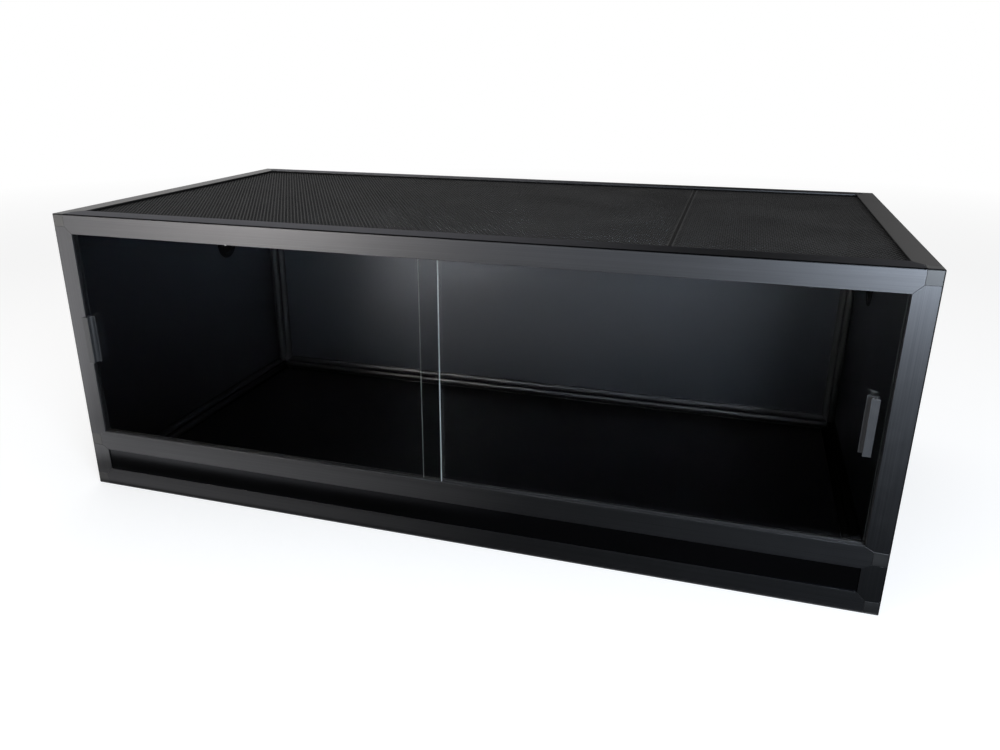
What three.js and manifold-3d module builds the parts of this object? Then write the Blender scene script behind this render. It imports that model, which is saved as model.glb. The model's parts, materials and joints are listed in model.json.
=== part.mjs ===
// Terrarium cabinet: a glass-fronted reptile enclosure, 48 x 24 x 18 inches.
//
// The carcass is a cage of square aluminium tube. Each tube carries pairs of thin fins, so that a panel
// slides into the channel between an outer fin, flush with the outside, and an inner lip. Moulded corner
// connectors plug into the tubes, and the fins meet in mitres at each corner. PVC sheets close the floor,
// back, sides and the low front under the doors. Two perforated sheets cover the top, edged with rubber
// and held up at their seam by a bar. Two glass doors slide past each other in plastic tracks.
//
// Units are millimetres. The origin is the middle of the carcass's footprint: +X right, +Y back, +Z up.
import * as THREE from "three";
import { mergeVertices } from "three/addons/utils/BufferGeometryUtils.js";
import Module from "manifold-3d";

// ---- Driving dimensions ----

// Carcass, over the outer faces of the frame.
const carcassWidth = 1219.2;
const carcassDepth = 609.6;
const carcassHeight = 457.2;

// Aluminium extrusion: a square tube with fins that stand past it.
const tube = 19.05;
const tubeWall = 1.6;
const edgeRadius = 1.8;
const finThickness = 1.5;
const finReach = 10.95;
const lipReach = 10.95;
const headerShelfReach = 17.0; // the front top rail's top fin is the widest, because it roofs the door track

// Middle rail, between the doors and the low front panel.
const middleRailUnderside = 73.0;
const middleFinUp = 6.25;
const middleFinDown = 7.0;

// Sheets that slide into the channels, and the play round them.
const panelThickness = 6.0;
const panelPlay = 0.25;
const panelEdgeGap = 0.5;

// Corner connectors: barbed square legs that are pushed into the tubes.
const legLength = 22.0;
const legPlay = 0.2;
const legBarbs = 4;
const legBarbDepth = 1.1;
const legTipLength = 3.0;

// The hairline between two pieces that butt.
const seam = 0.2;

// Door tracks: an E section with two grooves.
const trackRib = 1.2;
const trackBase = 1.5;
const bottomGrooveDepth = 4.7;
const topGrooveDepth = 9.2;
const jambGrooveDepth = 9.0;
const trackPlay = 0.3;

// Glass doors.
const glassThickness = 4.0;
const glassPlay = 0.4;
const glassLift = 0.3;
const liftOutPlay = 1.0; // what is left over the glass once it is lifted out of the bottom groove
const doorOverlap = 20.0; // of the two doors, when both are shut
const closedGap = 0.55; // between a shut door's edge and the floor of its jamb groove
const rightDoorAjar = 10.0; // as photographed, the right door stands a finger's width open

// Door pulls, stuck on with foam tape.
const pullLength = 75.0;
const pullWidth = 10.0;
const pullBaseWidth = 13.5;
const pullDepth = 13.6;
const pullFlange = 2.4;
const pullScoop = 3.2;
const pullInset = 11.9;
const pullCentreHeight = 261.0;
const tapeThickness = 0.8;
const tapeMargin = 0.8;
const tapeSeat = 0.05;

// Perforated top sheets. A wide and a narrow one meet over the seam bar.
const meshThickness = 1.0;
const narrowBay = 304.8; // from the seam to the right-hand outer face
const seamBarWeb = 3.0;
const seamBarFlange = 19.0;
const seamBarCrown = 0.6;
const meshSeamPlay = 0.5;
const edgingWall = 2.2;
const edgingBite = 6.0;
const edgingPlay = 0.2;
const edgingSetback = 0.6;

// Cable ports in the side panels: rubber grommets, whose membrane is slit into fingers round a small hole.
const portHole = 50.0;
const portFlange = 60.0;
const portBore = 42.0;
const portFlangeThickness = 1.3;
const portPlay = 0.3;
const portMembrane = 1.4;
const portCentre = 12.0;
const portFingers = 8;
const portSlit = 1.2;
const portSlitEnd = 19.0; // from the axis to the end of a slit
const portFromBack = 187.0;
const portHeight = 330.0;
const portFacets = 36;

// ---- Derived places ----

const left = -carcassWidth / 2;
const right = carcassWidth / 2;
const front = -carcassDepth / 2;
const back = carcassDepth / 2;
const top = carcassHeight;

const channel = panelThickness + 2 * panelPlay; // clear width between a fin and its lip
const lipInner = 2 * finThickness + channel; // from the outer face to the far side of a lip
const middleRailTop = middleRailUnderside + tube;
const groove = glassThickness + 2 * glassPlay;
const trackStart = front + finThickness + trackPlay; // the track's front face
const trackDepth = 3 * trackRib + 2 * groove;
const frontGlass = trackStart + trackRib + glassPlay; // front face of the left door's glass
const rearGlass = frontGlass + groove + trackRib; // front face of the right door's glass

// ---- Materials ----

const finish = (color, roughness, metalness, extra = {}) =>
  new THREE.MeshStandardMaterial({ color, roughness, metalness, ...extra });
const anodised = finish(0x2b2d31, 0.38, 0.9);
const nylon = finish(0x1b1c1e, 0.35, 0.0);
const pvc = finish(0x0c0c0d, 0.32, 0.0);
const perforated = finish(0x1c1c1d, 0.45, 0.6);
const rubber = finish(0x101010, 0.85, 0.0);
const glass = finish(0xdfe8e6, 0.02, 0.0, { transparent: true, opacity: 0.2 });
const pullPlastic = finish(0x2a2b2f, 0.4, 0.0);
const foam = finish(0x161616, 0.95, 0.0);

// ---- Solids: joining and cutting ----

const wasm = await Module();
wasm.setup();

/** A closed geometry, moved by a matrix, as a manifold solid. A mirroring matrix has its faces turned back. */
function solidFrom(geometry, matrix = new THREE.Matrix4()) {
  const bare = new THREE.BufferGeometry();
  bare.setAttribute("position", geometry.getAttribute("position").clone());
  if (geometry.index) bare.setIndex(geometry.index.clone());
  bare.applyMatrix4(matrix);
  const merged = mergeVertices(bare, 1e-4);
  const triVerts = new Uint32Array(merged.index.array);
  if (matrix.determinant() < 0) {
    for (let i = 0; i < triVerts.length; i += 3) {
      [triVerts[i + 1], triVerts[i + 2]] = [triVerts[i + 2], triVerts[i + 1]];
    }
  }
  const vertProperties = merged.attributes.position.array;
  return new wasm.Manifold(new wasm.Mesh({ numProp: 3, vertProperties, triVerts }));
}

/** A manifold solid as a flat-shaded geometry. */
function geometryFrom(solid) {
  const mesh = solid.getMesh();
  const indexed = new THREE.BufferGeometry();
  indexed.setAttribute("position", new THREE.BufferAttribute(mesh.vertProperties, 3));
  indexed.setIndex(new THREE.BufferAttribute(mesh.triVerts, 1));
  const flat = indexed.toNonIndexed();
  flat.computeVertexNormals();
  return flat;
}

// ---- Placing ----

const axis = {
  px: new THREE.Vector3(1, 0, 0),
  nx: new THREE.Vector3(-1, 0, 0),
  py: new THREE.Vector3(0, 1, 0),
  ny: new THREE.Vector3(0, -1, 0),
  pz: new THREE.Vector3(0, 0, 1),
  nz: new THREE.Vector3(0, 0, -1),
};

/** The matrix that lays a piece's own x, y and z along three given axes, with its origin at a point. */
function frameAt(point, xAxis, yAxis, zAxis) {
  return new THREE.Matrix4().makeBasis(xAxis, yAxis, zAxis).setPosition(...point);
}

/** A named mesh laid out by such a matrix. */
function piece(name, geometry, material, matrix = new THREE.Matrix4()) {
  const mesh = new THREE.Mesh(geometry, material);
  mesh.name = name;
  mesh.applyMatrix4(matrix);
  return mesh;
}

/** A plain sheet or block between two corners. */
function block(name, material, [x0, x1], [y0, y1], [z0, z1]) {
  const mesh = piece(name, new THREE.BoxGeometry(x1 - x0, y1 - y0, z1 - z0), material);
  mesh.position.set((x0 + x1) / 2, (y0 + y1) / 2, (z0 + z1) / 2);
  return mesh;
}

function polygon(points) {
  return new THREE.Shape(points.map(([x, y]) => new THREE.Vector2(x, y)));
}

function extrude(shape, depth, curveSegments = 4) {
  return new THREE.ExtrudeGeometry(shape, { depth, bevelEnabled: false, curveSegments });
}

// ---- Frame extrusions ----

/** The tube's square bore, as a hole in a section whose tube starts at the origin. */
function tubeBore() {
  const low = tubeWall;
  const high = tube - tubeWall;
  return new THREE.Path(
    [[low, low], [low, high], [high, high], [high, low]].map(([x, y]) => new THREE.Vector2(x, y)),
  );
}

/**
 * Section of a rail that runs along an outer edge of the carcass. The outer edge is at the origin, x and y
 * point inward along the two outer faces. `a` is the pair of fins along x, flush with the face y = 0, and
 * `b` the pair along y, flush with the face x = 0. A lip of 0 leaves out the inner fin.
 */
function edgeSection(a, b) {
  const t = finThickness;
  const section = new THREE.Shape();
  section.moveTo(edgeRadius, 0);
  section.lineTo(tube + a.reach, 0);
  section.lineTo(tube + a.reach, t);
  section.lineTo(tube, t);
  if (a.lip > 0) {
    section.lineTo(tube, lipInner - t);
    section.lineTo(tube + a.lip, lipInner - t);
    section.lineTo(tube + a.lip, lipInner);
    section.lineTo(tube, lipInner);
  }
  section.lineTo(tube, tube);
  if (b.lip > 0) {
    section.lineTo(lipInner, tube);
    section.lineTo(lipInner, tube + b.lip);
    section.lineTo(lipInner - t, tube + b.lip);
    section.lineTo(lipInner - t, tube);
  }
  section.lineTo(t, tube);
  section.lineTo(t, tube + b.reach);
  section.lineTo(0, tube + b.reach);
  section.lineTo(0, edgeRadius);
  section.absarc(edgeRadius, edgeRadius, edgeRadius, Math.PI, 1.5 * Math.PI, false);
  section.holes.push(tubeBore());
  return section;
}

/** Section of the middle rail: x points up, y inward. One fin stands up, a fin and a lip hang down. */
function middleSection() {
  const t = finThickness;
  const section = polygon([
    [-middleFinDown, 0],
    [tube + middleFinUp, 0],
    [tube + middleFinUp, t],
    [tube, t],
    [tube, tube],
    [0, tube],
    [0, lipInner],
    [-middleFinDown, lipInner],
    [-middleFinDown, lipInner - t],
    [0, lipInner - t],
    [0, t],
    [-middleFinDown, t],
  ]);
  section.holes.push(tubeBore());
  return section;
}

/**
 * The wedge that mitres a fin at one end of a rail. The rail runs along z from 0 to `length`, its fin
 * stands `reach` past the tube face at `root`, along `out`, and the fin that it meets reaches `meets`.
 */
function mitreWedge(length, atFarEnd, root, out, across, reach, meets) {
  const over = 5; // how far the cutter runs past what it cuts
  const slope = meets / reach;
  const wedge = extrude(
    polygon([
      [-over, 0],
      [0, 0],
      [slope * (reach + over), reach + over],
      [-over, reach + over],
    ]),
    2 * (tube + lipInner),
  );
  const along = atFarEnd ? axis.nz : axis.pz;
  const start = root.clone().addScaledVector(across, -tube);
  start.z = atFarEnd ? length : 0;
  return solidFrom(wedge, frameAt(start.toArray(), along, out, across));
}

/**
 * An edge rail of a length, with mitred fins. `ends` gives, for the start and the far end, the reach of
 * the fins that `a` and `b` meet there.
 */
function edgeRail(length, a, b, ends) {
  let solid = solidFrom(extrude(edgeSection(a, b), length));
  const aRoot = new THREE.Vector3(tube, 0, 0);
  const bRoot = new THREE.Vector3(0, tube, 0);
  ends.forEach(([aMeets, bMeets], end) => {
    solid = solid
      .subtract(mitreWedge(length, end === 1, aRoot, axis.px, axis.py, a.reach, aMeets))
      .subtract(mitreWedge(length, end === 1, bRoot, axis.py, axis.px, b.reach, bMeets));
  });
  return geometryFrom(solid);
}

function middleRail(length) {
  let solid = solidFrom(extrude(middleSection(), length));
  const above = new THREE.Vector3(tube, 0, 0);
  const below = new THREE.Vector3(0, 0, 0);
  for (const far of [false, true]) {
    solid = solid
      .subtract(mitreWedge(length, far, above, axis.px, axis.py, middleFinUp, finReach))
      .subtract(mitreWedge(length, far, below, axis.nx, axis.py, middleFinDown, finReach));
  }
  return geometryFrom(solid);
}

const captive = { reach: finReach, lip: lipReach }; // takes a panel
const single = { reach: finReach, lip: 0 }; // covers a door track
const header = { reach: headerShelfReach, lip: lipReach };
const plain = [finReach, finReach];

const butt = tube + seam; // from an outer face to the end of a rail
const widthRun = carcassWidth - 2 * butt;
const depthRun = carcassDepth - 2 * butt;
const heightRun = carcassHeight - 2 * butt;
const lowPostRun = middleRailUnderside - tube - 2 * seam;
const highPostRun = top - tube - middleRailTop - 2 * seam;

function buildFrame() {
  const frame = new THREE.Group();
  const add = (name, geometry, origin, u, v, w) =>
    frame.add(piece(name, geometry, anodised, frameAt(origin, u, v, w)));
  const { px, nx, py, ny, pz, nz } = axis;
  const start = left + butt;

  // Bottom rails: fins up for the walls, and fins inward for the floor.
  const lowLong = edgeRail(widthRun, captive, captive, [plain, plain]);
  const lowShort = edgeRail(depthRun, captive, captive, [plain, plain]);
  add("bottom_front_rail", lowLong, [start, front, 0], pz, py, px);
  add("bottom_rear_rail", lowLong, [start, back, 0], pz, ny, px);
  add("bottom_left_rail", lowShort, [left, front + butt, 0], pz, px, py);
  add("bottom_right_rail", lowShort, [right, front + butt, 0], pz, nx, py);

  // Top rails: fins down for the walls or the door track, and fins inward for the perforated sheets.
  const headerRail = edgeRail(widthRun, single, header, [plain, plain]);
  const sideTop = edgeRail(depthRun, captive, captive, [[finReach, headerShelfReach], plain]);
  add("top_front_rail", headerRail, [start, front, top], nz, py, px);
  add("top_rear_rail", lowLong, [start, back, top], nz, ny, px);
  add("top_left_rail", sideTop, [left, front + butt, top], nz, px, py);
  add("top_right_rail", sideTop, [right, front + butt, top], nz, nx, py);

  // Rear posts run from floor to top. The front posts are cut at the middle rail.
  const rearPost = edgeRail(heightRun, captive, captive, [plain, plain]);
  const highEnds = [[middleFinUp, finReach], plain];
  const lowEnds = [plain, [middleFinDown, finReach]];
  const highPost = edgeRail(highPostRun, single, captive, highEnds);
  const lowPost = edgeRail(lowPostRun, captive, captive, lowEnds);
  for (const [side, x, inward] of [["left", left, px], ["right", right, nx]]) {
    add(`rear_${side}_post`, rearPost, [x, back, butt], inward, ny, pz);
    add(`front_${side}_upper_post`, highPost, [x, front, middleRailTop + seam], inward, py, pz);
    add(`front_${side}_lower_post`, lowPost, [x, front, butt], inward, py, pz);
  }
  add("middle_front_rail", middleRail(widthRun), [start, front, middleRailUnderside], pz, py, px);
  return frame;
}

// ---- Corner connectors ----

/** A barbed square leg along +z from the origin, turned as a four-sided lathe. */
function connectorLeg() {
  const half = tube / 2 - tubeWall - legPlay;
  const toCorner = Math.SQRT2;
  const root = tube / 4; // how far the leg is buried in its cube
  const pitch = (legLength - legTipLength) / legBarbs;
  const profile = [new THREE.Vector2(0, -root), new THREE.Vector2((half - legBarbDepth) * toCorner, -root)];
  for (let i = 0; i < legBarbs; i += 1) {
    const z = i * pitch;
    profile.push(new THREE.Vector2((half - legBarbDepth) * toCorner, z + pitch * 0.2));
    profile.push(new THREE.Vector2(half * toCorner, z + pitch * 0.35));
    profile.push(new THREE.Vector2((half - legBarbDepth) * toCorner, z + pitch));
  }
  profile.push(new THREE.Vector2((half - 2 * legBarbDepth) * toCorner, legLength));
  profile.push(new THREE.Vector2(0, legLength));
  const lathe = new THREE.LatheGeometry(profile, 4, Math.PI / 4);
  lathe.rotateX(Math.PI / 2);
  return solidFrom(lathe);
}

/** A square section with its outer corner, at the origin, rounded as the rails' outer edges are. */
function roundedSquare() {
  const shape = new THREE.Shape();
  shape.moveTo(edgeRadius, 0);
  shape.lineTo(tube, 0);
  shape.lineTo(tube, tube);
  shape.lineTo(0, tube);
  shape.lineTo(0, edgeRadius);
  shape.absarc(edgeRadius, edgeRadius, edgeRadius, Math.PI, 1.5 * Math.PI, false);
  return shape;
}

/** Moves a leg, drawn along +z, so that it leaves a cube face along a direction. */
function legAlong(leg, direction) {
  const turn = new THREE.Quaternion().setFromUnitVectors(axis.pz, direction);
  const middle = new THREE.Vector3(1, 1, 1).multiplyScalar(tube / 2);
  const root = middle.addScaledVector(direction, tube / 2);
  const matrix = new THREE.Matrix4().compose(root, turn, new THREE.Vector3(1, 1, 1));
  return leg.transform(matrix.toArray());
}

/** Three-way corner: a cube with rounded outer edges, and a leg along each inward axis. */
function cornerConnector() {
  const { px, py, pz } = axis;
  const prism = extrude(roundedSquare(), tube);
  const leg = connectorLeg();
  const cube = solidFrom(prism)
    .intersect(solidFrom(prism, frameAt([0, 0, 0], py, pz, px)))
    .intersect(solidFrom(prism, frameAt([0, 0, 0], pz, px, py)));
  return geometryFrom(
    [px, py, pz].reduce((body, direction) => body.add(legAlong(leg, direction)), cube),
  );
}

/** Side tee at the middle rail: legs up and down the front post, and one into the rail. */
function teeConnector() {
  const leg = connectorLeg();
  const cube = solidFrom(extrude(roundedSquare(), tube));
  return geometryFrom(
    [axis.px, axis.pz, axis.nz].reduce((body, direction) => body.add(legAlong(leg, direction)), cube),
  );
}

function buildConnectors() {
  const connectors = new THREE.Group();
  const corner = cornerConnector();
  const tee = teeConnector();
  const { px, nx, py, ny, pz, nz } = axis;
  for (const [side, x, inX] of [["left", left, px], ["right", right, nx]]) {
    for (const [face, y, inY] of [["front", front, py], ["rear", back, ny]]) {
      for (const [level, z, inZ] of [["bottom", 0, pz], ["top", top, nz]]) {
        const matrix = frameAt([x, y, z], inX, inY, inZ);
        connectors.add(piece(`${level}_${face}_${side}_connector`, corner, nylon, matrix));
      }
    }
    const matrix = frameAt([x, front, middleRailUnderside], inX, py, pz);
    connectors.add(piece(`middle_${side}_connector`, tee, nylon, matrix));
  }
  return connectors;
}

// ---- Panels ----

const sheetStart = tube + panelEdgeGap; // from an outer face to a sheet's edge
const sheetOuter = finThickness + panelPlay; // from an outer face to a sheet's outer side
const sheetInner = sheetOuter + panelThickness;
const acrossX = [left + sheetStart, right - sheetStart];
const acrossY = [front + sheetStart, back - sheetStart];
const upZ = [sheetStart, top - sheetStart];
const portY = back - portFromBack;

/** A side panel with the round hole of its cable port. */
function sidePanel(name, xRange) {
  const sheet = block(name, pvc, xRange, acrossY, upZ);
  sheet.updateMatrix();
  const drill = new THREE.CylinderGeometry(portHole / 2, portHole / 2, 4 * panelThickness, portFacets);
  drill.rotateZ(Math.PI / 2);
  drill.translate(
    -sheet.position.x + (xRange[0] + xRange[1]) / 2,
    portY - sheet.position.y,
    portHeight - sheet.position.z,
  );
  sheet.geometry = geometryFrom(solidFrom(sheet.geometry).subtract(solidFrom(drill)));
  return sheet;
}

function buildPanels() {
  const panels = new THREE.Group();
  const lowFront = [sheetStart, middleRailUnderside - panelEdgeGap];
  panels.add(
    block("floor_panel", pvc, acrossX, acrossY, [sheetOuter, sheetInner]),
    block("back_panel", pvc, acrossX, [back - sheetInner, back - sheetOuter], upZ),
    block("lower_front_panel", pvc, acrossX, [front + sheetOuter, front + sheetInner], lowFront),
    sidePanel("left_panel", [left + sheetOuter, left + sheetInner]),
    sidePanel("right_panel", [right - sheetInner, right - sheetOuter]),
  );
  return panels;
}

// ---- Cable ports ----

/** A rubber grommet about its y axis: two flanges grip the panel, and fingers close the bore. */
function grommet() {
  const flangeInner = panelThickness / 2 + portPlay;
  const flangeOuter = flangeInner + portFlangeThickness;
  const neck = portHole / 2 - portPlay;
  const bore = portBore / 2;
  const rim = portFlange / 2;
  const round = portFlangeThickness / 2;
  const skin = portMembrane / 2;
  const upper = [
    [portCentre / 2, skin],
    [bore, skin],
    [bore, flangeOuter],
    [rim - round, flangeOuter],
    [rim, flangeInner + round],
    [rim, flangeInner],
    [neck, flangeInner],
  ];
  const lower = upper.map(([r, h]) => [r, -h]);
  const outline = [...lower, ...upper.toReversed(), lower[0]];
  const profile = outline.map(([r, h]) => new THREE.Vector2(r, h));
  let solid = solidFrom(new THREE.LatheGeometry(profile, portFacets));
  for (let i = 0; i < portFingers; i += 1) {
    const slit = new THREE.BoxGeometry(portSlit, 4 * portMembrane, portSlitEnd);
    slit.translate(0, 0, portSlitEnd / 2);
    slit.rotateY(((i + 0.5) * 2 * Math.PI) / portFingers);
    solid = solid.subtract(solidFrom(slit));
  }
  return geometryFrom(solid);
}

function buildPorts() {
  const ports = new THREE.Group();
  const geometry = grommet();
  const fromWall = (sheetOuter + sheetInner) / 2;
  for (const [side, x, outward] of [["left", left + fromWall, axis.nx], ["right", right - fromWall, axis.px]]) {
    const matrix = frameAt([x, portY, portHeight], axis.py, outward, axis.pz);
    ports.add(piece(`${side}_cable_grommet`, geometry, rubber, matrix));
  }
  return ports;
}

// ---- Perforated top ----

const meshSeamX = right - narrowBay;
const meshMiddle = top - finThickness - channel / 2;
const meshUnder = meshMiddle - meshThickness / 2;
const meshOver = meshMiddle + meshThickness / 2;
const edgingDeep = lipReach - panelEdgeGap - edgingSetback;
const meshEdge = sheetStart + edgingDeep - edgingBite; // from an outer face to a sheet's edge
const seamHalf = seamBarWeb / 2 + meshSeamPlay;

/** U section of the rubber edging: x points inward from its web, y up. */
function edgingSection() {
  const half = channel / 2 - edgingPlay;
  const slot = meshThickness / 2 + edgingPlay;
  const web = edgingDeep - edgingBite - edgingPlay;
  return polygon([
    [0, -half],
    [edgingDeep, -half],
    [edgingDeep, -half + edgingWall / 2],
    [edgingDeep - edgingWall / 2, -slot],
    [web, -slot],
    [web, slot],
    [edgingDeep - edgingWall / 2, slot],
    [edgingDeep, half - edgingWall / 2],
    [edgingDeep, half],
    [0, half],
  ]);
}

/** The bar under the seam: an upside-down T whose web shows between the sheets. x across, y up. */
function seamBarSection() {
  const lipTop = top - finThickness - channel;
  const low = lipTop + edgingPlay - meshMiddle;
  const under = meshUnder - edgingPlay - meshMiddle;
  const crown = meshOver + seamBarCrown - meshMiddle;
  return polygon([
    [-seamBarFlange / 2, low],
    [seamBarFlange / 2, low],
    [seamBarFlange / 2, under],
    [seamBarWeb / 2, under],
    [seamBarWeb / 2, crown],
    [-seamBarWeb / 2, crown],
    [-seamBarWeb / 2, under],
    [-seamBarFlange / 2, under],
  ]);
}

function buildTop() {
  const cover = new THREE.Group();
  const { px, nx, py, ny, pz } = axis;
  const section = edgingSection();
  const meshY = [front + meshEdge, back - meshEdge];
  const meshZ = [meshUnder, meshOver];
  const add = (name, length, origin, u, w) =>
    cover.add(piece(name, extrude(section, length), rubber, frameAt(origin, u, pz, w)));

  cover.add(
    block("wide_mesh_sheet", perforated, [left + meshEdge, meshSeamX - seamHalf], meshY, meshZ),
    block("narrow_mesh_sheet", perforated, [meshSeamX + seamHalf, right - meshEdge], meshY, meshZ),
  );

  const barLength = carcassDepth - 2 * sheetStart;
  const barAt = frameAt([meshSeamX, front + sheetStart, meshMiddle], px, pz, py);
  cover.add(piece("mesh_seam_bar", extrude(seamBarSection(), barLength), anodised, barAt));

  // Long edging runs along the front and rear, on each side of the seam bar; short edging closes the ends.
  const barHalf = seamBarFlange / 2 + panelEdgeGap;
  const wideRun = [left + sheetStart, meshSeamX - barHalf];
  const narrowRun = [meshSeamX + barHalf, right - sheetStart];
  for (const [sheet, [x0, x1]] of [["wide", wideRun], ["narrow", narrowRun]]) {
    add(`${sheet}_front_edging`, x1 - x0, [x0, front + sheetStart, meshMiddle], py, px);
    add(`${sheet}_rear_edging`, x1 - x0, [x0, back - sheetStart, meshMiddle], ny, px);
  }
  const inner = sheetStart + edgingDeep + panelPlay;
  const shortRun = carcassDepth - 2 * inner;
  add("left_end_edging", shortRun, [left + sheetStart, front + inner, meshMiddle], px, py);
  add("right_end_edging", shortRun, [right - sheetStart, front + inner, meshMiddle], nx, py);
  return cover;
}

// ---- Door tracks ----

/** E section: x runs back across the three ribs, y along their height from the base. */
function trackSection(grooveDepth) {
  const outline = [[0, 0], [trackDepth, 0]];
  const crest = trackBase + grooveDepth;
  for (const rib of [2, 1, 0]) {
    const x = rib * (trackRib + groove);
    outline.push([x + trackRib, crest], [x, crest]);
    if (rib > 0) outline.push([x, trackBase], [x - groove, trackBase]);
  }
  return polygon(outline);
}

function buildTracks() {
  const tracks = new THREE.Group();
  const { px, nx, py, pz, nz } = axis;
  const side = tube + trackPlay; // from an outer face to a track's base or end
  const run = carcassWidth - 2 * side;
  const add = (name, grooveDepth, length, origin, v, w) =>
    tracks.add(piece(name, extrude(trackSection(grooveDepth), length), nylon, frameAt(origin, py, v, w)));

  const low = middleRailTop + trackPlay;
  const high = top - tube - trackPlay;
  const jambLow = low + trackBase + bottomGrooveDepth + trackPlay;
  const jambRun = high - trackBase - topGrooveDepth - trackPlay - jambLow;
  add("bottom_track", bottomGrooveDepth, run, [left + side, trackStart, low], pz, px);
  add("top_track", topGrooveDepth, run, [left + side, trackStart, high], nz, px);
  add("left_jamb_track", jambGrooveDepth, jambRun, [left + side, trackStart, jambLow], px, pz);
  add("right_jamb_track", jambGrooveDepth, jambRun, [right - side, trackStart, jambLow], nx, pz);
  return tracks;
}

// ---- Doors ----

const glassLow = middleRailTop + trackPlay + trackBase + glassLift;
const glassHigh = top - tube - trackPlay - trackBase - bottomGrooveDepth - liftOutPlay;
const jambFloor = tube + trackPlay + trackBase; // from an outer face to the floor of a jamb groove
const doorWidth = (carcassWidth + doorOverlap) / 2 - jambFloor - closedGap;

/** Section of a pull: x inward from the door's outer edge, y from its front face back to its base. */
function pullSection() {
  const section = new THREE.Shape();
  const baseFront = pullDepth - pullFlange;
  const waist = (pullFlange + baseFront) / 2;
  section.moveTo(0, 0);
  section.lineTo(pullWidth, 0);
  section.lineTo(pullWidth, pullFlange);
  section.quadraticCurveTo(pullWidth - 2 * pullScoop, waist, pullWidth, baseFront);
  section.lineTo(pullBaseWidth, baseFront);
  section.lineTo(pullBaseWidth, pullDepth);
  section.lineTo(0, pullDepth);
  section.lineTo(0, baseFront);
  section.quadraticCurveTo(2 * pullScoop, waist, 0, pullFlange);
  return section;
}

/** One sliding door. `outerEdge` is the x of its outer edge, and `inward` points to its other edge. */
function slidingDoor(side, outerEdge, inward, glassFront) {
  const door = new THREE.Group();
  const step = inward.x;
  const span = (from, to) => [outerEdge + step * from, outerEdge + step * to].sort((p, q) => p - q);
  const low = pullCentreHeight - pullLength / 2;
  const tapeBack = glassFront - tapeSeat;
  const pullBack = tapeBack - tapeThickness - tapeSeat;
  const pullAt = frameAt([outerEdge + step * pullInset, pullBack - pullDepth, low], inward, axis.py, axis.pz);
  door.add(
    block(
      `${side}_glass_door`,
      glass,
      span(0, doorWidth),
      [glassFront, glassFront + glassThickness],
      [glassLow, glassHigh],
    ),
    block(
      `${side}_pull_tape`,
      foam,
      span(pullInset + tapeMargin, pullInset + pullBaseWidth - tapeMargin),
      [tapeBack - tapeThickness, tapeBack],
      [low + tapeMargin, low + pullLength - tapeMargin],
    ),
    piece(`${side}_door_pull`, extrude(pullSection(), pullLength, 8), pullPlastic, pullAt),
  );
  return door;
}

// ---- Assembly ----

const cabinet = new THREE.Group();
cabinet.name = "terrarium_cabinet";
cabinet.add(
  buildFrame(),
  buildConnectors(),
  buildPanels(),
  buildPorts(),
  buildTop(),
  buildTracks(),
  slidingDoor("left", left + jambFloor + closedGap, axis.px, frontGlass),
  slidingDoor("right", right - jambFloor - closedGap - rightDoorAjar, axis.nx, rearGlass),
);

export default cabinet;
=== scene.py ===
# %% [markdown]
# # A sliding-door terrarium cabinet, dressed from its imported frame
#
# The cabinet is a cage of black anodised tube with moulded corners, black sheet walls, a perforated top and two
# glass doors that slide past each other. The CAD model gives the shapes and sizes. This lesson adds what it leaves
# out: the small roundings that catch light, the holes of the perforated top, and a finish for each material.

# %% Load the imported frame
import json
import math

import bmesh
import bpy
from mathutils import Matrix, Vector


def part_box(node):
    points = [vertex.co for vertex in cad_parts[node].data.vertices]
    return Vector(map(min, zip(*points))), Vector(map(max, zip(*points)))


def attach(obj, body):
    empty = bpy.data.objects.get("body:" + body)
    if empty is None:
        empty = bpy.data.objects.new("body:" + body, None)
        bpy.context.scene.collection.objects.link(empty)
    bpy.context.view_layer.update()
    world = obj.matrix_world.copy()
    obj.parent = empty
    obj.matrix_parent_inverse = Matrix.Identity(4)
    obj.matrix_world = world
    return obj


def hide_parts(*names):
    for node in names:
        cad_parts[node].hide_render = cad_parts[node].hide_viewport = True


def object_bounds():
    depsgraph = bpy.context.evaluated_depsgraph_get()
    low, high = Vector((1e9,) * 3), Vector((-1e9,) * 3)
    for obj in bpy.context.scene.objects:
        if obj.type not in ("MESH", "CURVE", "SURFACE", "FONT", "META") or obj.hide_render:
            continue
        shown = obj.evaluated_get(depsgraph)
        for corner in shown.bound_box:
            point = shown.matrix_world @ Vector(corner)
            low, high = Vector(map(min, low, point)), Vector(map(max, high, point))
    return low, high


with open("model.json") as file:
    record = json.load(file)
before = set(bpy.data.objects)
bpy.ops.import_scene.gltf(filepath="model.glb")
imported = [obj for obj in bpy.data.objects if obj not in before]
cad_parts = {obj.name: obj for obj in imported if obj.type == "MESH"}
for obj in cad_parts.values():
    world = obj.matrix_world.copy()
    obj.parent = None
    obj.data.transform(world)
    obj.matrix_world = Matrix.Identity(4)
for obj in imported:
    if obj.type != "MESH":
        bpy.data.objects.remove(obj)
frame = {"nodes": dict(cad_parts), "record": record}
nodes = frame["nodes"]
cad_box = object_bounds()
mm, cm = 0.001, 0.01  # in metres, the unit of every length here


def apart(start, end):
    """From one corner to another along X, Y and Z, in millimetres."""
    return [round((b - a) / mm, 2) for a, b in zip(start, end)]


print(len(nodes), "CAD nodes in a box of", apart(*cad_box), "mm")

# %% [markdown]
# The record says which finish each node takes and which body it rides on. Every new piece here stands for a node,
# so it can look both up by the node's name.

# %% What the record says of each node
slot_of = {part["node"]: part["material_slot"] for part in frame["record"]["subparts"]}
body_of = {node: body for body, members in frame["record"]["behaviour"]["bodies"].items() for node in members}
print(sorted(set(slot_of.values())))

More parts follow.
